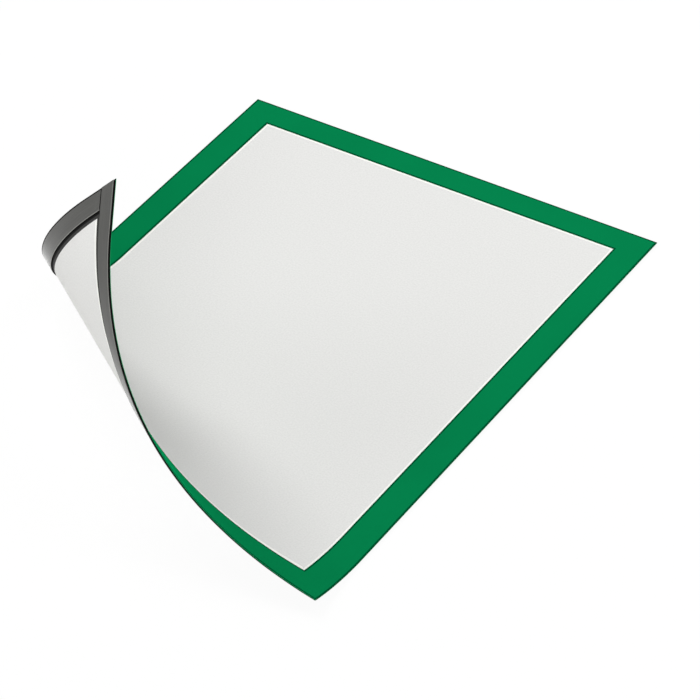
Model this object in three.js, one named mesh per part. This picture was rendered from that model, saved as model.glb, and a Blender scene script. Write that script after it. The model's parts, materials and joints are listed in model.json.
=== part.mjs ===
// Magnetic display frame for an A4 sheet: a printed border and a clear matt window on a flexible film,
// with magnetic strips behind the border. It lies on its magnets, and its bottom left corner is peeled
// up and curled over, as for slipping a sheet in.
//
// Millimetres, +Z up. On the sheet, X runs to its right and Y to its top, from its bottom left corner.
// The sheet's height 0 is its front face, and each layer lies at a depth below it.

import * as THREE from 'three';

// The sheet that the frame holds, and how the border and the strips lie round it
const HELD_SHEET = { width: 210, height: 297 };
const BORDER_LAP = 3;
const BORDER_WIDTH = 16;
const STRIP_WIDTH = 11.4;
const STRIP_MARGIN = 0.6;
const BORDER_OUTSIDE = BORDER_WIDTH - BORDER_LAP;
const SHEET_WIDTH = HELD_SHEET.width + 2 * BORDER_OUTSIDE;
const SHEET_HEIGHT = HELD_SHEET.height + 2 * BORDER_OUTSIDE;

// Layers, from the front face down. The gap between them is the glue, which isn't modelled.
const GLUE_GAP = 0.04;
const BORDER_THICKNESS = 0.2;
const FILM_THICKNESS = 0.2;
const STRIP_THICKNESS = 0.8;
const BORDER_LAYER = { depth: 0, thickness: BORDER_THICKNESS };
const FILM_LAYER = { depth: BORDER_THICKNESS + GLUE_GAP, thickness: FILM_THICKNESS };
const STRIP_LAYER = { depth: FILM_LAYER.depth + FILM_THICKNESS + GLUE_GAP, thickness: STRIP_THICKNESS };
const TOTAL_THICKNESS = STRIP_LAYER.depth + STRIP_THICKNESS;

// Where the strips butt on each other, and where the sheet bends
const BUTT_GAP = 0.3;
const FOLD_GAP = 0.3;

// The peel. The sheet curls as a cone, so all its fold lines run through one apex, which lies outside
// the sheet, beyond its left edge. A line's angle is the one below the X axis. The real film bends
// smoothly: STRETCH_TURNS says how far it turns between each two fold lines, from the bend's start to the
// tip of the corner, and a fold takes half of the turn on either side of it.
const APEX = new THREE.Vector2(-310, 368.5);
const FIRST_FOLD_LINE = 31;
const FOLD_LINE_STEP = 2.06;
const STRETCH_TURNS = [12.9, 16.4, 16.7, 18.1, 17.4, 15.9, 12.4, 10];
const FOLD_COUNT = STRETCH_TURNS.length + 1;

// The facets that the sheet's corners lie on. The window's corner is on the facet before the tip.
const RIGHT_CORNER_FACET = 2;
const WINDOW_CORNER_FACET = FOLD_COUNT - 1;

// Each piece has a material of its own, so these make a new one every time
const MATERIALS = {
  border: () => new THREE.MeshStandardMaterial({ color: 0x05804c, roughness: 0.45, metalness: 0 }),
  film: () => new THREE.MeshStandardMaterial({ color: 0xe8e8e6, roughness: 0.6, metalness: 0 }),
  strip: () => new THREE.MeshStandardMaterial({ color: 0x575853, roughness: 0.7, metalness: 0 }),
};

/** Outline of an upright rectangle between two corners. */
function rectangle(left, bottom, right, top) {
  return [
    new THREE.Vector2(left, bottom),
    new THREE.Vector2(right, bottom),
    new THREE.Vector2(right, top),
    new THREE.Vector2(left, top),
  ];
}

/** Unit vector along a fold line, away from the apex. */
function foldDirection(lineAngle) {
  const angle = THREE.MathUtils.degToRad(lineAngle);
  return new THREE.Vector2(Math.cos(angle), -Math.sin(angle));
}

/** Line angle of a fold, counted from 1 at the bend's start. */
function foldLineAngle(fold) {
  return FIRST_FOLD_LINE + (fold - 1) * FOLD_LINE_STEP;
}

/** How far the sheet turns at a fold, in degrees. */
function foldTurn(fold) {
  const before = STRETCH_TURNS[fold - 2] ?? 0;
  const after = STRETCH_TURNS[fold - 1] ?? 0;
  return (before + after) / 2;
}

/** How far a point lies past a fold line, towards the peeled corner. */
function distancePast(fold, point) {
  const along = foldDirection(foldLineAngle(fold));
  const fromApex = point.clone().sub(APEX);
  return -along.cross(fromApex);
}

/** The part of an outline where a distance function is positive. */
function keepWhere(outline, distance) {
  const kept = [];
  outline.forEach((point, index) => {
    const next = outline[(index + 1) % outline.length];
    const here = distance(point);
    const there = distance(next);
    if (here >= 0) {
      kept.push(point);
    }
    if (here * there < 0) {
      kept.push(point.clone().lerp(next, here / (here - there)));
    }
  });
  return kept;
}

/** The part of an outline on one flat facet: facet 0 is the flat panel, and facet N lies past fold N. */
function onFacet(outline, facet) {
  let kept = outline;
  if (facet > 0) {
    kept = keepWhere(kept, (point) => distancePast(facet, point) - FOLD_GAP / 2);
  }
  if (facet < FOLD_COUNT) {
    kept = keepWhere(kept, (point) => -distancePast(facet + 1, point) - FOLD_GAP / 2);
  }
  return kept;
}

/** A flat piece of one layer, cut to one facet. */
function layerPiece(name, outline, facet, layer, material) {
  const shape = new THREE.Shape(onFacet(outline, facet));
  const geometry = new THREE.ExtrudeGeometry(shape, { depth: layer.thickness, bevelEnabled: false });
  const mesh = new THREE.Mesh(geometry, material());
  mesh.name = name;
  mesh.position.z = -layer.depth - layer.thickness;
  return mesh;
}

// Outlines of the whole pieces, before they are cut at the folds
const WHOLE_SHEET = rectangle(0, 0, SHEET_WIDTH, SHEET_HEIGHT);
const BORDER_INNER_RIGHT = SHEET_WIDTH - BORDER_WIDTH;
const BORDER_INNER_TOP = SHEET_HEIGHT - BORDER_WIDTH;

/** The border's left, top and right sides, open at the bottom. */
const BORDER_LEFT_TOP_RIGHT = [
  new THREE.Vector2(0, 0),
  new THREE.Vector2(BORDER_WIDTH, 0),
  new THREE.Vector2(BORDER_WIDTH, BORDER_INNER_TOP),
  new THREE.Vector2(BORDER_INNER_RIGHT, BORDER_INNER_TOP),
  new THREE.Vector2(BORDER_INNER_RIGHT, 0),
  new THREE.Vector2(SHEET_WIDTH, 0),
  new THREE.Vector2(SHEET_WIDTH, SHEET_HEIGHT),
  new THREE.Vector2(0, SHEET_HEIGHT),
];

/** The border round the bottom right corner. */
const BORDER_BOTTOM_RIGHT = [
  new THREE.Vector2(0, 0),
  new THREE.Vector2(SHEET_WIDTH, 0),
  new THREE.Vector2(SHEET_WIDTH, SHEET_HEIGHT),
  new THREE.Vector2(BORDER_INNER_RIGHT, SHEET_HEIGHT),
  new THREE.Vector2(BORDER_INNER_RIGHT, BORDER_WIDTH),
  new THREE.Vector2(0, BORDER_WIDTH),
];

/** The border round the peeled bottom left corner. */
const BORDER_BOTTOM_LEFT = [
  new THREE.Vector2(0, 0),
  new THREE.Vector2(SHEET_WIDTH, 0),
  new THREE.Vector2(SHEET_WIDTH, BORDER_WIDTH),
  new THREE.Vector2(BORDER_WIDTH, BORDER_WIDTH),
  new THREE.Vector2(BORDER_WIDTH, SHEET_HEIGHT),
  new THREE.Vector2(0, SHEET_HEIGHT),
];

const BORDER_LEFT = rectangle(0, 0, BORDER_WIDTH, SHEET_HEIGHT);
const BORDER_RIGHT = rectangle(BORDER_INNER_RIGHT, 0, SHEET_WIDTH, SHEET_HEIGHT);
const BORDER_BOTTOM = rectangle(0, 0, SHEET_WIDTH, BORDER_WIDTH);

// The strips lie just inside the border's outside. The top and bottom ones run the full width, and the
// side strips butt between them.
const STRIP_LEFT_X = STRIP_MARGIN;
const STRIP_RIGHT_X = SHEET_WIDTH - STRIP_MARGIN;
const STRIP_BOTTOM_Y = STRIP_MARGIN;
const STRIP_TOP_Y = SHEET_HEIGHT - STRIP_MARGIN;
const SIDE_STRIP_BOTTOM = STRIP_BOTTOM_Y + STRIP_WIDTH + BUTT_GAP;
const SIDE_STRIP_TOP = STRIP_TOP_Y - STRIP_WIDTH - BUTT_GAP;
const STRIP_TOP = rectangle(STRIP_LEFT_X, STRIP_TOP_Y - STRIP_WIDTH, STRIP_RIGHT_X, STRIP_TOP_Y);
const STRIP_BOTTOM = rectangle(STRIP_LEFT_X, STRIP_BOTTOM_Y, STRIP_RIGHT_X, STRIP_BOTTOM_Y + STRIP_WIDTH);
const STRIP_LEFT = rectangle(STRIP_LEFT_X, SIDE_STRIP_BOTTOM, STRIP_LEFT_X + STRIP_WIDTH, SIDE_STRIP_TOP);
const STRIP_RIGHT = rectangle(STRIP_RIGHT_X - STRIP_WIDTH, SIDE_STRIP_BOTTOM, STRIP_RIGHT_X, SIDE_STRIP_TOP);

/** The flat panel: all that lies before the first fold. */
function flatPanel() {
  const panel = new THREE.Group();
  panel.add(layerPiece('border_panel', BORDER_LEFT_TOP_RIGHT, 0, BORDER_LAYER, MATERIALS.border));
  panel.add(layerPiece('window_film_panel', WHOLE_SHEET, 0, FILM_LAYER, MATERIALS.film));
  panel.add(layerPiece('magnet_strip_top', STRIP_TOP, 0, STRIP_LAYER, MATERIALS.strip));
  panel.add(layerPiece('magnet_strip_left', STRIP_LEFT, 0, STRIP_LAYER, MATERIALS.strip));
  panel.add(layerPiece('magnet_strip_right', STRIP_RIGHT, 0, STRIP_LAYER, MATERIALS.strip));
  return panel;
}

/** The pieces of the border on a facet past a fold. */
function borderPieces(facet) {
  const piece = (name, outline) => layerPiece(name, outline, facet, BORDER_LAYER, MATERIALS.border);
  if (facet >= WINDOW_CORNER_FACET) {
    return [piece(`border_corner_fold_${facet}`, BORDER_BOTTOM_LEFT)];
  }
  const left = piece(`border_left_fold_${facet}`, BORDER_LEFT);
  if (facet < RIGHT_CORNER_FACET) {
    return [left, piece(`border_right_fold_${facet}`, BORDER_RIGHT)];
  }
  const bottom = facet === RIGHT_CORNER_FACET ? BORDER_BOTTOM_RIGHT : BORDER_BOTTOM;
  return [left, piece(`border_bottom_fold_${facet}`, bottom)];
}

/** The pieces of the magnetic strips on a facet past a fold. */
function stripPieces(facet) {
  const piece = (name, outline) => layerPiece(name, outline, facet, STRIP_LAYER, MATERIALS.strip);
  const pieces = [piece(`magnet_strip_left_fold_${facet}`, STRIP_LEFT)];
  if (facet <= RIGHT_CORNER_FACET) {
    pieces.push(piece(`magnet_strip_right_fold_${facet}`, STRIP_RIGHT));
  }
  if (facet >= RIGHT_CORNER_FACET) {
    pieces.push(piece(`magnet_strip_bottom_fold_${facet}`, STRIP_BOTTOM));
  }
  return pieces;
}

/** A facet turned up about its fold line, in the frame of the facet before it. */
function foldedFacet(facet) {
  const along = foldDirection(foldLineAngle(facet));
  const turn = new THREE.Group();
  turn.position.set(APEX.x, APEX.y, 0);
  turn.quaternion.setFromAxisAngle(
    new THREE.Vector3(-along.x, -along.y, 0),
    THREE.MathUtils.degToRad(foldTurn(facet)),
  );
  const sheet = new THREE.Group();
  sheet.position.set(-APEX.x, -APEX.y, 0);
  sheet.add(layerPiece(`window_film_fold_${facet}`, WHOLE_SHEET, facet, FILM_LAYER, MATERIALS.film));
  sheet.add(...borderPieces(facet), ...stripPieces(facet));
  turn.add(sheet);
  return { turn, sheet };
}

/** The whole frame, with its front face at the sheet's height 0. */
function buildSheet() {
  const panel = flatPanel();
  let carrier = panel;
  for (let facet = 1; facet <= FOLD_COUNT; facet += 1) {
    const { turn, sheet } = foldedFacet(facet);
    carrier.add(turn);
    carrier = sheet;
  }
  return panel;
}

// The origin is the middle of the frame's outline on the surface that it lies on
const displayFrame = new THREE.Group();
displayFrame.name = 'magnetic_display_frame';
displayFrame.add(buildSheet());
const bounds = new THREE.Box3().setFromObject(displayFrame, true);
displayFrame.children[0].position.set(
  -(bounds.min.x + bounds.max.x) / 2,
  -(bounds.min.y + bounds.max.y) / 2,
  TOTAL_THICKNESS,
);

export default displayFrame;
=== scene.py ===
import json
import math

import bpy
import numpy as np
from bpy.props import FloatProperty, FloatVectorProperty, IntProperty, PointerProperty
from mathutils import Matrix, Vector


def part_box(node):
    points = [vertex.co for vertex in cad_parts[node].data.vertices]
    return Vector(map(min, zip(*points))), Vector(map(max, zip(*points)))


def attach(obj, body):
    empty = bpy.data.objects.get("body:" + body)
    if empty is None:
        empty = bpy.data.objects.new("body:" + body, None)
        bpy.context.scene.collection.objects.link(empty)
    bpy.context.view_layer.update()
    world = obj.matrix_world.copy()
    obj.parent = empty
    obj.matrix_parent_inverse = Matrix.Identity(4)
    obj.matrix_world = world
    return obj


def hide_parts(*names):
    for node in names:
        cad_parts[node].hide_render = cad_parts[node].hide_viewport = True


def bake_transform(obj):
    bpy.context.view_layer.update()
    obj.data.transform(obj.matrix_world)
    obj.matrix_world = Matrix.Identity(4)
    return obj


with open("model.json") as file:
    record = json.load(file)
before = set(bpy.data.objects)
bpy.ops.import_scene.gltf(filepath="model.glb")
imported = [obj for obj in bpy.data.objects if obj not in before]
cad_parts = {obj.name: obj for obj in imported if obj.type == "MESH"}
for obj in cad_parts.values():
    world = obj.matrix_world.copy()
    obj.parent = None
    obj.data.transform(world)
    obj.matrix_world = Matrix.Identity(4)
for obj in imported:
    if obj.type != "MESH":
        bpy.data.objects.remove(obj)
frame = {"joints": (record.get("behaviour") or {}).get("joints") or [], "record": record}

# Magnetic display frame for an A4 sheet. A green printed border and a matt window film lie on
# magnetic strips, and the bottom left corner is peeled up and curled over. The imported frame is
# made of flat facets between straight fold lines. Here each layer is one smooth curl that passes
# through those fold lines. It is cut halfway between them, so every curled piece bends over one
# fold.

bl_info = {
    "name": "Magnetic Display Frame",
    "version": (1, 0, 0),
    "blender": (4, 5, 0),
    "location": "3D View > Sidebar > Display Frame",
    "description": "Adds a magnetic display frame with one corner peeled up",
    "category": "Object",
}

MM = 0.001
PANEL = "panel"
UP = np.array([0.0, 0.0, 1.0])
WHITE = (1.0, 1.0, 1.0, 1.0)

# The curve of sRGB: straight up to the knee, and a power above it
SRGB_KNEE = 0.04045
SRGB_SLOPE = 12.92
SRGB_OFFSET = 0.055
SRGB_POWER = 2.4

# Points of the flat sheet are one point if they agree in this many digits, and lines are one line
# if their angles differ by less than this
WELD_DIGITS = 7
SAME_ANGLE = 1e-6

# An outline with fewer corners has no area
FEWEST_CORNERS = 3

# Edges that turn by more than this are shaded as sharp
SHARP_ANGLE = math.radians(30)

# From this fold on the sheet is turned up. There the border's cut edge is painted pale green, as
# the light that comes out through its clear film, and the film's edge is painted black, as shade
FIRST_RAISED_FOLD = 6

# Axes along which a plate's bands step inwards: both, or only one for bands along two sides
ALL_ROUND = (1, 1)
ACROSS = (1, 0)
UPWARDS = (0, 1)

# Straight steps of the rolled edge on a strip's back, and how far in its flat shoulder ends, in
# radii of the edge
ROLL_STEPS = 3
SHOULDER = 1.5

# Flat bands of a strip's back: the shoulder, the line that may be painted dark as shade, and the
# middle
FLAT_BANDS = 3

# Most of a noise lies between these shares
NOISE_LOW = 0.35
NOISE_HIGH = 0.65

# Materials that two layers have in common
PRINTED_GREEN = "Screen printed PVC, green"
BLOCKING_GREY_AND_SHADE = "Blocking ink on PVC, grey"


def srgb(hex_colour):
    """Linear colour, with alpha 1, of an sRGB hex colour."""
    channels = [int(hex_colour[i:i + 2], 16) / 255 for i in (1, 3, 5)]
    linear = [
        c / SRGB_SLOPE if c <= SRGB_KNEE else ((c + SRGB_OFFSET) / (1 + SRGB_OFFSET)) ** SRGB_POWER
        for c in channels
    ]
    return (*linear, 1.0)


def length(name, description, default):
    """A property that holds a length in metres."""
    return FloatProperty(
        name=name, description=description, default=default, min=0, precision=5, unit="LENGTH",
    )


def colour(name, description, hex_colour):
    """A property that holds a colour."""
    return FloatVectorProperty(
        name=name, description=description, default=srgb(hex_colour), size=4, min=0, max=1,
        subtype="COLOR",
    )


def view_angle(name, description, degrees):
    """A property that holds an angle of the camera."""
    return FloatProperty(
        name=name, description=description, default=math.radians(degrees), subtype="ANGLE",
    )


def lamp_power(name, lamp, watts):
    """A property that holds the power of a lamp."""
    return FloatProperty(
        name=name, description=f"Power of the {lamp}", default=watts, min=0, unit="POWER",
    )


class DisplayFrameSizes(bpy.types.PropertyGroup):
    """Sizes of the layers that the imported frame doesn't give."""

    sheet_height: length("Height", "Outside height of the frame laid flat", 323 * MM)
    border_width: length("Border width", "Width of the printed border", 16 * MM)
    rim_width: length("Rim", "Width of the darker rim where the border is cut", 0.95 * MM)
    rim_drop: length("Rim drop", "How far the cutter rounds the border's edges down", 0.03 * MM)
    white_line: length("White line", "Width of the pressed white line beside the border", 1.1 * MM)
    low_white_line: length("Low white line", "Width of the white line by the bottom edge", 2.2 * MM)
    back_line: length("Back line", "Width of the white line over the border's back", 0.95 * MM)
    back_reach: length("Back reach", "Width of the white line past the border's back", 0.6 * MM)
    # The black band beside a strip is painted shadow, not a real layer
    strip_shadow_line: length("Shadow line", "Width of the black painted shadow beside a strip", 1.3 * MM)
    strip_round: length("Strip edge", "Radius of the rolled edge on a strip's back", 0.4 * MM)
    shade_line: length("Shade line", "Width of the painted shade along the shaded long edge of a strip", 1.0 * MM)
    bends: IntProperty(
        name="Bends", description="Straight steps in each half of a curled stretch", default=12,
        min=2, max=40,
    )


class DisplayFrameColours(bpy.types.PropertyGroup):
    """Colours of the printed border, the film, the magnetic strips and the table."""

    border: colour("Border", "Printed front of the border", "#05804B")
    border_scatter: colour("Border scatter", "Green that the border scatters at a slant", "#0CA868")
    rim: colour("Rim", "Border where it is cut", "#005431")
    # Grey ink of the border's back, made darker as painted shade from the strips
    border_back_and_shade: colour("Border back", "Back of the border, seen past the strips, darkened as painted shade", "#393938")
    white_line: colour("White line", "Pressed line of film beside the border", "#FBFBF6")
    film: colour("Film", "Matt window film over white", "#E7E7E5")
    film_grain: colour("Film grain", "Hollows of the film's embossed grain", "#DFDFDD")
    # Black paint for the strips' shadow on the film's back and for the shade on the raised film
    # edge
    glue: colour("Glue", "Black painted shadow beside the magnetic strips", "#0B0B0A")
    magnet: colour("Magnet", "Rolled back of the magnetic strips", "#474745")
    magnet_worn: colour("Magnet streaks", "Paler streaks along the back of the strips", "#52524F")
    # Pale painted highlight on the rolled edges of the strips
    magnet_edge_highlight: colour("Magnet edge highlight", "Rolled edges of the strips, painted pale as a highlight", "#82827E")
    # Black for the strips' cut walls and for painted shade on their shaded long edge
    magnet_cut_and_shade: colour("Cut magnet and shade", "Cut edges of the magnetic strips, black with painted shade", "#0C0C0B")
    # Pale green painted light on the border's cut edge where the sheet is turned up
    cut_edge: colour("Cut edge", "Cut edges of the border's clear film, painted pale green as light through it", "#12B874")
    floor: colour("Floor", "Table that the frame lies on", "#F4F4F3")


class DisplayFrameStudio(bpy.types.PropertyGroup):
    """Camera and lights."""

    target: FloatVectorProperty(
        name="Target", description="Point that the camera looks at",
        default=(32.895 * MM, 6.682 * MM, 1.28 * MM), subtype="TRANSLATION", unit="LENGTH",
    )
    distance: length("Distance", "From the camera to its target", 2.0749)
    azimuth: view_angle("Azimuth", "Turn of the camera from the bottom edge to the right", 31.338)
    elevation: view_angle("Elevation", "Height of the camera above the table", 38.303)
    roll: view_angle("Roll", "Turn of the camera about its line of sight", 0.307)
    lens: FloatProperty(
        name="Lens", description="Focal length in mm on a 36 mm sensor", default=221.143,
        unit="CAMERA",
    )
    sky: FloatProperty(name="Sky", description="Even light from all round", default=0.05, min=0)
    key_power: lamp_power("Key", "large soft lamp beyond the top left corner", 191)
    fill_power: lamp_power("Fill", "large soft lamp low beyond the bottom edge", 150)
    side_power: lamp_power("Side", "large soft lamp low beyond the bottom left corner", 50)
    near_power: lamp_power("Near", "smaller lamp near the top right corner", 6)


def unit(vector):
    """The vector at length 1."""
    return vector / np.linalg.norm(vector)


def turned(vector, axis, angle):
    """A vector turned about a unit axis."""
    across = np.cross(axis, vector)
    along = axis * (axis @ vector)
    return along + math.cos(angle) * (vector - along) + math.sin(angle) * across


def meeting_point(points, directions):
    """The point nearest to several lines."""
    spans = [np.eye(3) - np.outer(direction, direction) for direction in directions]
    return np.linalg.solve(sum(spans), sum(span @ point for span, point in zip(spans, points)))


def smooth_step_place(weight):
    """Where a smooth step from 0 to 1, three squares less two cubes, has that weight."""
    return 0.5 - math.sin(math.asin(1 - 2 * min(max(weight, 0.0), 1.0)) / 3)


class CurledSheet:
    """The front face of the sheet. It curls as a cone, so its fold lines run through one apex.

    A point of the flat sheet is given from its bottom left corner, and its angle is the one below
    the X axis that the point has from the apex. Facet 0 is the flat panel, facet N lies past fold
    N, and stretch N is the curled surface between fold N and the next one.
    """

    def __init__(self, joints, sizes):
        lowest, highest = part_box("border_panel")
        self.front_face = highest.z
        self.top = highest.y
        self.width = highest.x - lowest.x
        self.outline = (0.0, 0.0, self.width, sizes.sheet_height)
        self.bends = sizes.bends
        self.folds = [unit(-np.array(joint["axis"])) for joint in joints]
        self.tip = len(self.folds)
        self.apex = meeting_point([np.array(joint["pos_m"]) for joint in joints], self.folds)
        self.flat_apex = self.apex[:2] - (lowest.x, highest.y - sizes.sheet_height)
        steps = [math.acos(here @ there) for here, there in zip(self.folds, self.folds[1:])]
        first = math.atan2(-self.folds[0][1], self.folds[0][0])
        self.angles = first + np.concatenate([[0.0], np.cumsum(steps)])
        self.set_facets()

    def set_facets(self):
        """Works out which way each facet faces, and how far each stretch and each fold turns.

        A fold turns by half of the stretch before it and half of the one after it. Nothing turns
        on the panel or past the last fold.
        """
        pairs = zip(self.folds, self.folds[1:])
        self.normals = [UP] + [unit(np.cross(there, here)) for here, there in pairs]
        self.stretch_turns = [0.0]
        for before, after in zip(self.normals, self.normals[1:]):
            self.stretch_turns.append(2 * math.acos(before @ after) - self.stretch_turns[-1])
        last_turn = self.stretch_turns[-1] / 2
        self.normals.append(turned(self.normals[-1], -self.folds[-1], last_turn))
        self.stretch_turns.append(0.0)
        around = zip(self.stretch_turns, self.stretch_turns[1:])
        self.fold_turns = [(before + after) / 2 for before, after in around]

    def depths(self, node):
        """Depths of a flat node's front and back behind the front of the sheet."""
        lowest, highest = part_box(node)
        return self.front_face - highest.z, self.front_face - lowest.z

    def middle_angle(self, stretch):
        """Angle of the line down the middle of a stretch."""
        return (self.angles[stretch - 1] + self.angles[stretch]) / 2

    def flat_directions(self, fold, facet, angles):
        """Directions from the apex on a flat facet, next to the fold whose number is given."""
        line = self.folds[fold - 1]
        across = np.cross(line, self.normals[facet])
        past = (angles - self.angles[fold - 1])[:, None]
        return np.cos(past) * line + np.sin(past) * across

    def curled_directions(self, stretch, angles):
        """Directions from the apex on a curled stretch, and which way the surface faces there.

        The stretch bulges behind its flat facet. Its control direction lies far enough behind the
        facet to turn each end by half of the stretch's turn.
        """
        start, end = self.folds[stretch - 1], self.folds[stretch]
        half_step = (self.angles[stretch] - self.angles[stretch - 1]) / 2
        bulge = math.tan(half_step) * math.tan(self.stretch_turns[stretch] / 2)
        control = unit(start + end) / math.cos(half_step) - bulge * self.normals[stretch]
        t = ((angles - self.angles[stretch - 1]) / (2 * half_step))[:, None]
        along = (1 - t) ** 2 * start + 2 * t * (1 - t) * control + t ** 2 * end
        slope = (1 - t) * (control - start) + t * (end - control)
        facing = np.cross(slope, along)
        return (
            along / np.linalg.norm(along, axis=1)[:, None],
            facing / np.linalg.norm(facing, axis=1)[:, None],
        )

    def place(self, flat, depths):
        """Where points of the flat sheet lie in the curled one, at depths behind its front face."""
        reach = np.asarray(flat) - self.flat_apex
        radius = np.hypot(reach[:, 0], reach[:, 1])[:, None]
        angles = np.arctan2(-reach[:, 1], reach[:, 0])
        stretches = np.searchsorted(self.angles, angles)
        directions = np.zeros((len(reach), 3))
        facing = np.zeros((len(reach), 3))
        for stretch in np.unique(stretches):
            here = stretches == stretch
            if stretch in (0, self.tip):
                fold = max(stretch, 1)
                directions[here] = self.flat_directions(fold, stretch, angles[here])
                facing[here] = self.normals[stretch]
            else:
                directions[here], facing[here] = self.curled_directions(stretch, angles[here])
        return self.apex + radius * directions - np.asarray(depths)[:, None] * facing

    def fold_reach(self, fold):
        """Distance from the apex to the middle of a fold line on the sheet."""
        angle = self.angles[fold - 1]
        to_left = -self.flat_apex[0] / math.cos(angle)
        to_right = (self.width - self.flat_apex[0]) / math.cos(angle)
        to_bottom = self.flat_apex[1] / math.sin(angle)
        return (to_left + min(to_right, to_bottom)) / 2

    def blend_zone(self, fold):
        """The points between which the sheet goes from following one body to following the next.

        The middle of a stretch lies behind its facet by its distance from the fold times a quarter
        of the stretch's turn. The zone is set so that pieces on both sides, turning by that quarter
        there, would stay together and lay the stretch flat when its folds are flat.
        """
        reach = self.fold_reach(fold)
        turn = self.fold_turns[fold - 1]
        here = self.angles[fold - 1]
        before = after = 0.0
        if fold > 1:
            before = reach * math.sin(here - self.middle_angle(fold - 1))
        if fold < self.tip:
            after = reach * math.sin(self.middle_angle(fold) - here)
        share_before = smooth_step_place(self.stretch_turns[fold - 1] / (4 * turn))
        share_after = smooth_step_place(1 - self.stretch_turns[fold] / (4 * turn))
        zone = (before + after) / (share_after - share_before)
        start = -before - share_before * zone
        middle = self.apex + reach * self.folds[fold - 1]
        facing = unit(self.normals[fold - 1] + self.normals[fold])
        across = np.cross(self.folds[fold - 1], facing)
        return middle + start * across, middle + (start + zone) * across


class Plate:
    """A flat layer: its outline, its bands, and how deep its front and back lie in the sheet.

    It has bands along the given sides, and a centre if it is filled. Each profile is a list of
    insets and a list of the depths there. Finishes name the material of each band, on the front
    and on the back, and of the edge. A side may have a list of its own under (side, face).
    """

    def __init__(
        self, rectangle, sides, insets, front, back, finishes, filled=True, axes=ALL_ROUND,
    ):
        self.rectangle = rectangle
        self.sides = sides
        self.insets = insets
        self.front = front
        self.back = back
        self.finishes = finishes
        self.filled = filled
        self.axes = axes

    def band_finishes(self, band, side=None):
        """Materials of the front and the back of a band, or of one side of it."""
        faces = ("front", "back")
        return [self.finishes.get((side, face), self.finishes[face])[band] for face in faces]


def inset(rectangle, amount, axes=ALL_ROUND):
    """A rectangle, as left, bottom, right and top, made smaller all round or along one axis."""
    left, bottom, right, top = rectangle
    across, up = amount * axes[0], amount * axes[1]
    return left + across, bottom + up, right - across, top - up


def corners(rectangle):
    """The corners of a rectangle, anticlockwise from the bottom left one."""
    left, bottom, right, top = rectangle
    return [(left, bottom), (right, bottom), (right, top), (left, top)]


def band_sides(rectangle, outer_inset, inner_inset, axes):
    """The four mitred sides of the band between two insets of a rectangle, each anticlockwise."""
    outer = corners(inset(rectangle, outer_inset, axes))
    inner = corners(inset(rectangle, inner_inset, axes))
    outlines = {}
    for here, side in enumerate(("bottom", "right", "top", "left")):
        there = (here + 1) % len(outer)
        outlines[side] = [outer[here], outer[there], inner[there], inner[here]]
    return outlines


def banded(plate):
    """Cells of a plate as (outline, its finishes). The centre has the last band's finishes."""
    cells = []
    for band, (outer, inner) in enumerate(zip(plate.insets, plate.insets[1:])):
        outlines = band_sides(plate.rectangle, outer, inner, plate.axes)
        cells += [(outlines[side], plate.band_finishes(band, side)) for side in plate.sides]
    if plate.filled:
        centre = inset(plate.rectangle, plate.insets[-1], plate.axes)
        cells.append((corners(centre), plate.band_finishes(-1)))
    return cells


def inset_of(points, plate):
    """How far inside a plate's outline points lie, along the axes of its bands."""
    left, bottom, right, top = plate.rectangle
    across = np.minimum(points[:, 0] - left, right - points[:, 0])
    up = np.minimum(points[:, 1] - bottom, top - points[:, 1])
    if plate.axes == ALL_ROUND:
        return np.minimum(across, up)
    return across if plate.axes == ACROSS else up


def cut_outline(outline, apex, angle, past):
    """The part of a convex outline past a line from the apex, or the part before it."""
    along_x, along_y = math.cos(angle), -math.sin(angle)
    sign = 1 if past else -1

    def distance(point):
        reach_x, reach_y = point[0] - apex[0], point[1] - apex[1]
        return sign * (along_y * reach_x - along_x * reach_y)

    kept = []
    for here, there in zip(outline, outline[1:] + outline[:1]):
        near, far = distance(here), distance(there)
        if near >= 0:
            kept.append(here)
        if near * far < 0:
            share = near / (near - far)
            kept.append(tuple(a + share * (b - a) for a, b in zip(here, there)))
    return kept


def cut_angles(sheet, fold):
    """Angles of the lines that a piece is cut at, over its fold and half of both stretches.

    None stands for no line. Piece 0 is the flat panel, which has none before it, and the piece at
    the tip has none past it.
    """
    if fold == 0:
        return [None, sheet.angles[0]]
    here = sheet.angles[fold - 1]
    angles = [here]
    if fold > 1:
        angles = [*np.linspace(sheet.middle_angle(fold - 1), here, sheet.bends + 1)]
    if fold < sheet.tip:
        return angles + [*np.linspace(here, sheet.middle_angle(fold), sheet.bends + 1)[1:]]
    return angles + [None]


def cut_cells(sheet, cells, angles):
    """Cells cut along lines from the apex."""
    pieces = []
    for start, end in zip(angles, angles[1:]):
        for outline, finishes in cells:
            kept = outline
            if start is not None:
                kept = cut_outline(kept, sheet.flat_apex, start, past=True)
            if end is not None:
                kept = cut_outline(kept, sheet.flat_apex, end, past=False)
            if len(kept) >= FEWEST_CORNERS:
                pieces.append((kept, finishes))
    return pieces


def weld(cells):
    """The points of some cells, each once, and the cells as (point numbers, finishes)."""
    numbers = {}
    points = []
    welded = []
    for outline, finishes in cells:
        ring = []
        for point in outline:
            key = (round(point[0], WELD_DIGITS), round(point[1], WELD_DIGITS))
            if key not in numbers:
                numbers[key] = len(points)
                points.append(point)
            if not ring or ring[-1] != numbers[key]:
                ring.append(numbers[key])
        if ring[0] == ring[-1]:
            ring.pop()
        if len(set(ring)) >= FEWEST_CORNERS:
            welded.append((ring, finishes))
    return np.array(points), welded


def seam_numbers(reach, angles):
    """The numbers of the points on each seam, from the points' reach from the apex."""
    found = np.arctan2(-reach[:, 1], reach[:, 0])
    seams = [angle for angle in angles if angle is not None]
    return [set(np.flatnonzero(abs(found - angle) < SAME_ANGLE)) for angle in seams]


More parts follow.
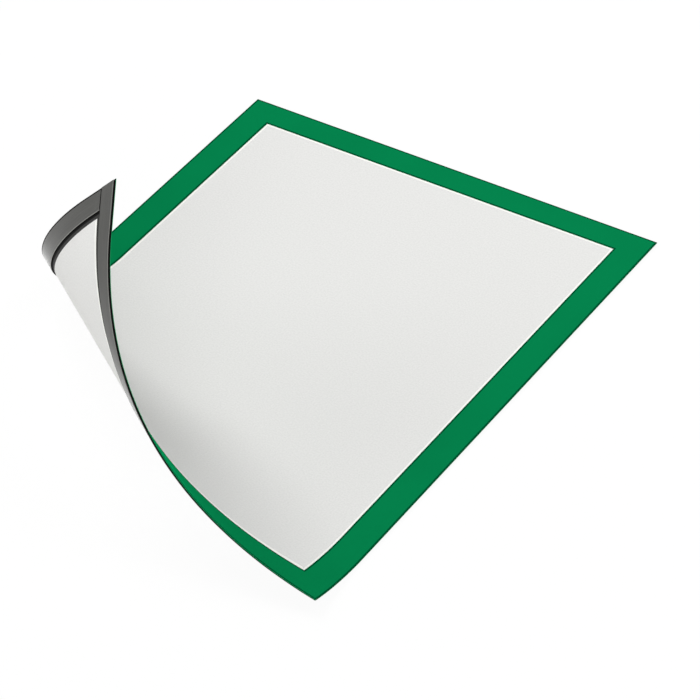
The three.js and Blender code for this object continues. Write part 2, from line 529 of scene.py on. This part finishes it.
def rolled_edge(radius):
    """Insets of a rounded edge, and how far it has dropped at each.

    A flat shoulder follows it, so that its smooth shading doesn't spread over the whole strip.
    """
    angles = [math.pi / 2 * step / ROLL_STEPS for step in range(ROLL_STEPS + 1)]
    insets = [radius * (1 - math.cos(angle)) for angle in angles]
    drops = [radius * (1 - math.sin(angle)) for angle in angles]
    return insets + [SHOULDER * radius], drops + [0.0]


def lay_out(mesh, points, axes):
    """Gives every corner its place on the flat sheet in metres. Strips run along the first axis.

    The points of the back follow those of the front, in the same order.
    """
    numbers = np.zeros(len(mesh.loops), dtype=int)
    mesh.loops.foreach_get("vertex_index", numbers)
    flat = points[numbers % len(points)]
    if axes == ACROSS:
        flat = flat[:, ::-1]
    layer = mesh.uv_layers.new(name="flat sheet")
    layer.data.foreach_set("uv", flat.ravel())


def plate_mesh(name, sheet, plate, fold):
    """A mesh of the part of a plate at one fold, with walls all round it.

    A wall on a seam has the finish of the layer there, and any other one that of the edge.
    """
    angles = cut_angles(sheet, fold)
    points, welded = weld(cut_cells(sheet, banded(plate), angles))
    insets = inset_of(points, plate)
    front = sheet.place(points, np.interp(insets, *plate.front))
    back = sheet.place(points, np.interp(insets, *plate.back))
    count = len(points)
    faces = []
    face_finishes = []
    edges = {}
    for ring, finishes in welded:
        faces.append(ring)
        faces.append([count + number for number in reversed(ring)])
        face_finishes += finishes
        edges.update({edge: finishes[0] for edge in zip(ring, ring[1:] + ring[:1])})
    seams = seam_numbers(points - sheet.flat_apex, (angles[0], angles[-1]))
    for a, b in sorted(edges):
        if (b, a) not in edges:
            faces.append([b, a, count + a, count + b])
            on_seam = any(a in seam and b in seam for seam in seams)
            face_finishes.append(edges[a, b] if on_seam else plate.finishes["edge"])
    mesh = bpy.data.meshes.new(name)
    mesh.from_pydata(np.vstack([front, back]).tolist(), [], faces)
    slots = sorted(set(face_finishes))
    for finish in slots:
        mesh.materials.append(bpy.data.materials[finish])
    slot_numbers = [slots.index(finish) for finish in face_finishes]
    mesh.polygons.foreach_set("material_index", slot_numbers)
    mesh.shade_smooth()
    mesh.set_sharp_from_angle(angle=SHARP_ANGLE)
    mesh.validate()
    mesh.update()
    lay_out(mesh, points, plate.axes)
    return mesh


def add_piece(name, sheet, plate, fold, node):
    """Adds a piece of a layer. It moves with the panel, or else its bend zone is worked out and it
    stays fixed where it is laid.
    """
    piece = bpy.data.objects.new(name, plate_mesh(name, sheet, plate, fold))
    bpy.context.scene.collection.objects.link(piece)
    if fold == 0:
        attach(piece, PANEL)
    else:
        start, end = sheet.blend_zone(fold)
        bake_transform(piece)
    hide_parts(node)


def nodes_of_layer(prefix):
    """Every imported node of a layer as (node, place on the sheet, number of its fold or 0)."""
    found = []
    for nodes in frame["record"]["behaviour"]["bodies"].values():
        for node in nodes:
            if node.startswith(prefix):
                place, _, fold = node.removeprefix(prefix).strip("_").partition("fold_")
                found.append((node, place.strip("_"), int(fold or 0)))
    return found


def new_material(name):
    """A material without any nodes."""
    material = bpy.data.materials.new(name)
    material.use_nodes = True
    material.node_tree.nodes.clear()
    return material


def add_node(tree, kind, settings=None, **inputs):
    """Adds a node with its settings and links.

    An input is named in lower case with underscores. It takes a value or an output, or a list of
    these where several inputs have its name.
    """
    node = tree.nodes.new(kind)
    for name, value in (settings or {}).items():
        setattr(node, name, value)
    for name, values in inputs.items():
        named = [s for s in node.inputs if s.name.lower().replace(" ", "_") == name and s.enabled]
        for number, value in enumerate(values if isinstance(values, list) else [values]):
            if isinstance(value, bpy.types.NodeSocket):
                tree.links.new(value, named[number])
            else:
                named[number].default_value = value
    return node


def spots(material, size, detail=2.0, roughness=0.5, stretch=(1, 1, 1)):
    """A pattern of spots about the given size across, fixed to the flat sheet."""
    tree = material.node_tree
    flat = add_node(tree, "ShaderNodeTexCoord").outputs["UV"]
    stretched = add_node(tree, "ShaderNodeMapping", vector=flat, scale=stretch).outputs["Vector"]
    return add_node(
        tree, "ShaderNodeTexNoise", vector=stretched, scale=1 / size, detail=detail,
        roughness=roughness,
    ).outputs["Fac"]


def darker(full, share):
    """A colour at a share of its brightness."""
    return (*(share * channel for channel in full[:3]), 1.0)


def add_surface(
    material, bumps, depth, tones=None, dark=WHITE, light=WHITE, low=NOISE_LOW, high=NOISE_HIGH,
    **finish,
):
    """Gives a material its surface, and returns its name.

    One pattern bumps the surface to a depth in metres. If there is a pattern of tones, the colour
    goes from dark to light as that one goes from low to high.
    """
    tree = material.node_tree
    if tones is not None:
        ramp = add_node(tree, "ShaderNodeValToRGB", fac=tones)
        for stop, place, tone in zip(ramp.color_ramp.elements, (low, high), (dark, light)):
            stop.position = place
            stop.color = tone
        finish["base_color"] = ramp.outputs["Color"]
    bump = add_node(tree, "ShaderNodeBump", height=bumps, distance=depth, strength=1.0)
    shader = add_node(
        tree, "ShaderNodeBsdfPrincipled", normal=bump.outputs["Normal"], **finish,
    )
    add_node(tree, "ShaderNodeOutputMaterial", surface=shader.outputs["BSDF"])
    return material.name


def printed_vinyl(colours):
    """PVC film, screen printed in solid green. It gives an even, saturated matt surface.

    It has no gloss, and what it scatters at a glancing view is green, so the curl keeps its
    colour. The ink is uneven over about 40 mm, and its orange peel is about 0.5 mm across.
    """
    material = new_material(PRINTED_GREEN)
    return add_surface(
        material, bumps=spots(material, 0.5 * MM), depth=0.01 * MM,
        tones=spots(material, 40 * MM), low=0.2, high=0.6,
        dark=darker(colours.border, 0.93), light=colours.border,
        roughness=0.5, specular_ior_level=0.0,
        sheen_weight=1.0, sheen_roughness=0.3, sheen_tint=colours.border_scatter,
    )


def cut_vinyl(colours):
    """The same film where the die has cut it. The ink thins and the cut is rough, so it is darker.

    The die's drag marks are about 0.1 mm apart. They are drawn at 0.6 mm, because less doesn't
    show.
    """
    material = new_material("Die cut PVC rim, green")
    drag = spots(material, 0.6 * MM)
    return add_surface(
        material, bumps=drag, depth=0.02 * MM,
        tones=drag, dark=darker(colours.rim, 0.8), light=colours.rim,
        roughness=0.6, specular_ior_level=0.0,
    )


def lit_clear_edge(colours):
    """The clear film under the ink, seen at its cut edge. Its pale green is painted light: the
    light that comes out through the clear film, tinted green.

    Its drag marks are those of the rim, drawn at the same scale.
    """
    material = new_material("Clear PVC, cut edge")
    drag = spots(material, 0.6 * MM)
    return add_surface(
        material, bumps=drag, depth=0.01 * MM,
        tones=drag, dark=darker(colours.cut_edge, 0.9), light=colours.cut_edge,
        roughness=0.5, specular_ior_level=0.1,
    )


def blocking_print_and_shade(colours):
    """The grey light-blocking ink on the border's back, seen through the film. It is dull. Its grey
    is darkened as painted shade from the strips beside it.

    Its mottle is about 0.8 mm across.
    """
    material = new_material(BLOCKING_GREY_AND_SHADE)
    grain = spots(material, 0.8 * MM)
    return add_surface(
        material, bumps=grain, depth=0.01 * MM,
        tones=grain, low=0.3, high=0.7,
        dark=darker(colours.border_back_and_shade, 0.85), light=colours.border_back_and_shade,
        roughness=0.6, specular_ior_level=0.05,
    )


def pressed_film(colours):
    """The window film where it is pressed along the border. Stress whitens it to a bright line.

    The press leaves ripples about 0.2 mm apart. They are drawn at 0.7 mm, because less doesn't
    show.
    """
    material = new_material("Pressed polypropylene, whitened")
    ripples = spots(material, 0.7 * MM)
    return add_surface(
        material, bumps=ripples, depth=0.01 * MM,
        tones=ripples, dark=darker(colours.white_line, 0.96), light=colours.white_line,
        roughness=0.5, specular_ior_level=0.3, ior=1.49,
    )


def matt_film(colours):
    """Polypropylene film, embossed matt. The fine grain scatters light, so it looks like paper.

    The real grain is about 0.3 mm. It is drawn at 0.9 mm, because less doesn't show.
    """
    material = new_material("Embossed polypropylene film, matt")
    grain = spots(material, 0.9 * MM, detail=3.0, roughness=0.6)
    return add_surface(
        material, bumps=grain, depth=0.02 * MM,
        tones=grain, dark=colours.film_grain, light=colours.film,
        roughness=0.75, specular_ior_level=0.2, ior=1.49,
    )


def rolled_magnet(colours):
    """Ferrite powder in rubber, rolled to a strip. It is dull and dark, with paler streaks.

    The powder's bloom scatters light at a glancing view, so the curl pales towards its outline.
    The streaks are about 1.2 mm wide and 30 mm long. The grit of the powder is finer than 0.1 mm.
    It is drawn at 0.4 mm, because less doesn't show.
    """
    material = new_material("Ferrite rubber, rolled")
    streaks = spots(material, 1.2 * MM, detail=3.0, roughness=0.6, stretch=(0.04, 1, 1))
    return add_surface(
        material, bumps=spots(material, 0.4 * MM), depth=0.02 * MM,
        tones=streaks, low=0.3, high=0.75, dark=colours.magnet, light=colours.magnet_worn,
        roughness=0.35, specular_ior_level=0.08, sheen_weight=0.8, sheen_roughness=0.2,
    )


def highlit_magnet_edge(colours):
    """The same strip at its rolled edge, painted pale as the highlight that the rounded edge
    catches.

    Its grit is drawn at 0.4 mm too.
    """
    material = new_material("Ferrite rubber, polished edge")
    grit = spots(material, 0.4 * MM)
    return add_surface(
        material, bumps=grit, depth=0.01 * MM,
        tones=grit, dark=darker(colours.magnet_edge_highlight, 0.8), light=colours.magnet_edge_highlight,
        roughness=0.3, specular_ior_level=0.25,
    )


def cut_and_shaded_magnet(colours):
    """The same strip where it is slit. It is painted black: partly the cut, partly painted shade on
    the strip's walls and on the shaded long edge of its back.

    Its torn grit is finer than 0.1 mm. It is drawn at 0.3 mm, because less doesn't show.
    """
    material = new_material("Ferrite rubber, slit")
    return add_surface(
        material, bumps=spots(material, 0.3 * MM), depth=0.03 * MM,
        base_color=colours.magnet_cut_and_shade, roughness=0.8, specular_ior_level=0.05,
    )


def painted_strip_shadow(colours):
    """Black paint for shade: the shadow that the strips cast on the film's back, painted as a band
    beside them, and the shade on the film's raised edge. It is smooth and takes the light.

    It lies in ripples about 1.5 mm apart.
    """
    material = new_material("Acrylic glue, black")
    ripples = spots(material, 1.5 * MM)
    return add_surface(
        material, bumps=ripples, depth=0.02 * MM,
        tones=ripples, dark=darker(colours.glue, 0.6), light=colours.glue,
        roughness=0.6, specular_ior_level=0.05,
    )


class DISPLAYFRAME_OT_border(bpy.types.Operator):
    """Adds the printed border, with its dark cut rim on both edges"""

    bl_idname = "display_frame.border"
    bl_label = "Printed Border"

    # Which sides of the border the nodes at each place stand for
    SIDES = {
        "panel": ["left", "top", "right"],
        "left": ["left"],
        "right": ["right"],
        "bottom": ["bottom", "right"],
        "corner": ["left", "bottom"],
    }

    def execute(self, context):
        sizes = context.scene.display_frame_sizes
        colours = context.scene.display_frame_colours
        green = printed_vinyl(colours)
        rim = cut_vinyl(colours)
        lit_edge = lit_clear_edge(colours)
        # The grey ink of the border's back is darkened as painted shade
        grey = blocking_print_and_shade(colours)
        sheet = CurledSheet(frame["joints"], sizes)
        front, back = sheet.depths("border_panel")
        dropped = front + sizes.rim_drop
        insets = [0.0, sizes.rim_width, sizes.border_width - sizes.rim_width, sizes.border_width]
        for node, place, fold in nodes_of_layer("border"):
            plate = Plate(
                rectangle=sheet.outline,
                sides=self.SIDES[place],
                insets=insets,
                front=(insets, [dropped, front, front, dropped]),
                back=([0.0], [back]),
                finishes={
                    "front": [rim, green, rim],
                    "back": [grey, grey, grey],
                    # From the raised fold on, the edge takes the painted light of the clear film
                    "edge": lit_edge if fold >= FIRST_RAISED_FOLD else green,
                },
                filled=False,
            )
            add_piece(f"printed_{node}", sheet, plate, fold, node)
        return {"FINISHED"}


class DISPLAYFRAME_OT_window(bpy.types.Operator):
    """Adds the window film, with a white line beside the border and the border's back behind it"""

    bl_idname = "display_frame.window"
    bl_label = "Window Film"

    SIDES = ["left", "bottom", "right", "top"]

    def execute(self, context):
        sizes = context.scene.display_frame_sizes
        colours = context.scene.display_frame_colours
        film = matt_film(colours)
        white = pressed_film(colours)
        glue = painted_strip_shadow(colours)
        green, grey = PRINTED_GREEN, BLOCKING_GREY_AND_SHADE
        sheet = CurledSheet(frame["joints"], sizes)
        front, back = sheet.depths("window_film_panel")
        inner = sizes.border_width
        strips_end = sheet.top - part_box("magnet_strip_top")[0].y
        # The bands from the outside in: on the back the black painted shadow beside the strips, the
        # grey ink darkened as painted shade, and both parts of the white line, then on the front
        # the rest of the line, and the wider line of the bottom edge
        insets = [
            0.0, strips_end + sizes.strip_shadow_line, inner - sizes.back_line, inner,
            inner + sizes.back_reach, inner + sizes.white_line, inner + sizes.low_white_line,
        ]
        for node, _, fold in nodes_of_layer("window_film"):
            plate = Plate(
                rectangle=sheet.outline,
                sides=self.SIDES,
                insets=insets,
                front=([0.0], [front]),
                back=([0.0], [back]),
                finishes={
                    "front": [film, film, film, white, white, film, film],
                    ("bottom", "front"): [film, film, film, white, white, white, film],
                    "back": [glue, grey, white, white, film, film, film],
                    ("left", "back"): [glue, grey, film, film, film, film, film],
                    # From the raised fold on, the film's edge is painted black as shade
                    "edge": glue if fold >= FIRST_RAISED_FOLD else green,
                },
            )
            add_piece(f"matt_{node}", sheet, plate, fold, node)
        return {"FINISHED"}


class DISPLAYFRAME_OT_magnets(bpy.types.Operator):
    """Adds the four magnetic strips. The side strips butt between the top and bottom ones"""

    bl_idname = "display_frame.magnets"
    bl_label = "Magnetic Strips"

    # The long edge of each strip whose back is painted dark as shade, and how many of its flat
    # bands are painted so. The other long edge is painted pale as a highlight
    SHADED_EDGES = {
        "top": ("top", 1),
        "bottom": ("top", 1),
        "left": ("left", 2),
        "right": ("right", 2),
    }

    def execute(self, context):
        sizes = context.scene.display_frame_sizes
        colours = context.scene.display_frame_colours
        rolled = rolled_magnet(colours)
        # The strips' rolled edges carry a painted highlight
        edge_highlight = highlit_magnet_edge(colours)
        # The slit black also paints the shade on the strips' walls and shaded edges
        slit_and_shade = cut_and_shaded_magnet(colours)
        sheet = CurledSheet(frame["joints"], sizes)
        front, back = sheet.depths("magnet_strip_top")
        strips = self.rectangles(sheet)
        insets, drops = rolled_edge(sizes.strip_round)
        insets.append(sizes.shade_line)
        drops.append(0.0)
        for node, place, fold in nodes_of_layer("magnet_strip"):
            upright = place in ("left", "right")
            shaded_side, dark_bands = self.SHADED_EDGES[place]
            shaded_bands = [slit_and_shade] * (ROLL_STEPS + dark_bands) + [rolled] * (FLAT_BANDS - dark_bands)
            # The highlit edge still has the slit's black, which paints shade, at its outermost step
            pale = [slit_and_shade] + [edge_highlight] * (ROLL_STEPS - 1) + [rolled] * FLAT_BANDS
            plate = Plate(
                rectangle=strips[place],
                sides=["left", "right"] if upright else ["bottom", "top"],
                insets=insets,
                front=([0.0], [front]),
                back=(insets, [back - drop for drop in drops]),
                finishes={
                    "front": [rolled] * (ROLL_STEPS + FLAT_BANDS),
                    "back": pale,
                    (shaded_side, "back"): shaded_bands,
                    "edge": slit_and_shade,
                },
                axes=ACROSS if upright else UPWARDS,
            )
            add_piece(f"ferrite_{node}", sheet, plate, fold, node)
        return {"FINISHED"}

    def rectangles(self, sheet):
        """Outlines of the whole strips on the flat sheet, as left, bottom, right and top."""
        top_lowest, top_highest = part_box("magnet_strip_top")
        side_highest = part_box("magnet_strip_right")[1]
        width = top_highest.y - top_lowest.y
        butt_gap = top_lowest.y - side_highest.y
        left, bottom, right, top = inset(sheet.outline, sheet.top - top_highest.y)
        side_bottom = bottom + width + butt_gap
        side_top = top - width - butt_gap
        return {
            "top": (left, top - width, right, top),
            "bottom": (left, bottom, right, bottom + width),
            "left": (left, side_bottom, left + width, side_top),
            "right": (right - width, side_bottom, right, side_top),
        }


class DISPLAYFRAME_OT_studio(bpy.types.Operator):
    """Adds the table, the lights and the camera"""

    bl_idname = "display_frame.studio"
    bl_label = "Studio"

    # Place and size of each lamp in metres
    LAMPS = {
        "key": ((-2.94, 1.7, 3.39), 3.2),
        "fill": ((2.26, -3.91, 1.64), 3.2),
        "side": ((-3.91, -2.26, 1.64), 3.2),
        "near": ((0.7, 0.7, 0.99), 0.9),
    }
    TABLE_SIZE = 12.0
    # Share of the table's own even white in what the camera sees, and how bright that white is
    OWN_WHITE = 0.93
    OWN_WHITE_STRENGTH = 1.01
    # The camera's sensor in mm, and how far it sees in metres
    SENSOR_WIDTH = 36
    SIGHT = 50

    def execute(self, context):
        studio = context.scene.display_frame_studio
        self.add_table(context, context.scene.display_frame_colours)
        self.add_sky(context, studio)
        for name, (place, size) in self.LAMPS.items():
            power = getattr(studio, f"{name}_power")
            self.add_lamp(context, f"{name}_lamp", place, size, power)
        self.add_camera(context, studio)
        context.scene.view_settings.view_transform = "Standard"
        return {"FINISHED"}

    def seen_or_reflected(self, tree):
        """1 for a ray from the camera or off a glossy surface, and 0 for any other."""
        rays = add_node(tree, "ShaderNodeLightPath").outputs
        either = [rays["Is Camera Ray"], rays["Is Glossy Ray"]]
        settings = {"operation": "MAXIMUM"}
        return add_node(tree, "ShaderNodeMath", settings, value=either).outputs["Value"]

    def add_table(self, context, colours):
        """A pale table. The camera sees mostly its own even white, with a trace of the shadow."""
        material = new_material("Matt white table")
        tree = material.node_tree
        table = add_node(tree, "ShaderNodeBsdfDiffuse", color=colours.floor).outputs["BSDF"]
        white = add_node(
            tree, "ShaderNodeEmission", color=WHITE, strength=self.OWN_WHITE_STRENGTH,
        ).outputs["Emission"]
        seen = add_node(
            tree, "ShaderNodeMixShader", fac=self.OWN_WHITE, shader=[table, white],
        ).outputs["Shader"]
        chosen = add_node(
            tree, "ShaderNodeMixShader", fac=self.seen_or_reflected(tree), shader=[table, seen],
        ).outputs["Shader"]
        add_node(tree, "ShaderNodeOutputMaterial", surface=chosen)
        half = self.TABLE_SIZE / 2
        mesh = bpy.data.meshes.new("table_top")
        table_corners = [(x, y, 0) for x, y in corners((-half, -half, half, half))]
        mesh.from_pydata(table_corners, [], [(0, 1, 2, 3)])
        mesh.materials.append(material)
        floor = bpy.data.objects.new("table_top", mesh)
        context.scene.collection.objects.link(floor)

    def add_sky(self, context, studio):
        """Even light all round, which the camera and reflections see as white."""
        world = bpy.data.worlds.new("Soft sky")
        world.use_nodes = True
        tree = world.node_tree
        tree.nodes.clear()
        strength = add_node(
            tree, "ShaderNodeMapRange", value=self.seen_or_reflected(tree),
            to_min=studio.sky, to_max=1.0,
        ).outputs["Result"]
        sky = add_node(tree, "ShaderNodeBackground", color=WHITE, strength=strength)
        add_node(tree, "ShaderNodeOutputWorld", surface=sky.outputs["Background"])
        context.scene.world = world

    def add_lamp(self, context, name, place, size, power):
        """A square soft lamp that faces the frame."""
        light = bpy.data.lights.new(name, "AREA")
        light.shape = "SQUARE"
        light.size = size
        light.energy = power
        lamp = bpy.data.objects.new(name, light)
        lamp.location = place
        lamp.rotation_euler = (-lamp.location).to_track_quat("-Z", "Y").to_euler()
        context.scene.collection.objects.link(lamp)

    def add_camera(self, context, studio):
        """The camera, at its distance from the target."""
        across = math.cos(studio.elevation) * studio.distance
        arm = Vector((
            math.sin(studio.azimuth) * across,
            -math.cos(studio.azimuth) * across,
            math.sin(studio.elevation) * studio.distance,
        ))
        data = bpy.data.cameras.new("camera")
        data.lens = studio.lens
        data.sensor_width = self.SENSOR_WIDTH
        data.clip_end = self.SIGHT
        camera = bpy.data.objects.new("camera", data)
        facing = (-arm).to_track_quat("-Z", "Y").to_matrix().to_4x4()
        rolled = Matrix.Rotation(studio.roll, 4, "Z")
        camera.matrix_world = Matrix.Translation(Vector(studio.target) + arm) @ facing @ rolled
        context.scene.collection.objects.link(camera)
        context.scene.camera = camera


class DISPLAYFRAME_PT_sidebar(bpy.types.Panel):
    """Lists the sizes, the colours, the studio and the steps that add the frame"""

    bl_idname = "DISPLAYFRAME_PT_sidebar"
    bl_label = "Magnetic Display Frame"
    bl_space_type = "VIEW_3D"
    bl_region_type = "UI"
    bl_category = "Display Frame"

    def draw(self, context):
        for name, cls in GROUPS.items():
            box = self.layout.box()
            for setting in cls.__annotations__:
                box.prop(getattr(context.scene, name), setting)
        for operator in OPERATORS:
            self.layout.operator(operator.bl_idname)


OPERATORS = (
    DISPLAYFRAME_OT_border,
    DISPLAYFRAME_OT_window,
    DISPLAYFRAME_OT_magnets,
    DISPLAYFRAME_OT_studio,
)
GROUPS = {
    "display_frame_sizes": DisplayFrameSizes,
    "display_frame_colours": DisplayFrameColours,
    "display_frame_studio": DisplayFrameStudio,
}


def register():
    for cls in (*GROUPS.values(), *OPERATORS, DISPLAYFRAME_PT_sidebar):
        bpy.utils.register_class(cls)
    for name, cls in GROUPS.items():
        setattr(bpy.types.Scene, name, PointerProperty(type=cls))


def unregister():
    for name in GROUPS:
        delattr(bpy.types.Scene, name)
    for cls in (DISPLAYFRAME_PT_sidebar, *reversed(OPERATORS), *reversed(GROUPS.values())):
        bpy.utils.unregister_class(cls)


def main():
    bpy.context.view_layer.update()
    register()
    bpy.ops.display_frame.border()
    bpy.ops.display_frame.window()
    bpy.ops.display_frame.magnets()
    bpy.ops.display_frame.studio()


if __name__ == "__main__":
    main()
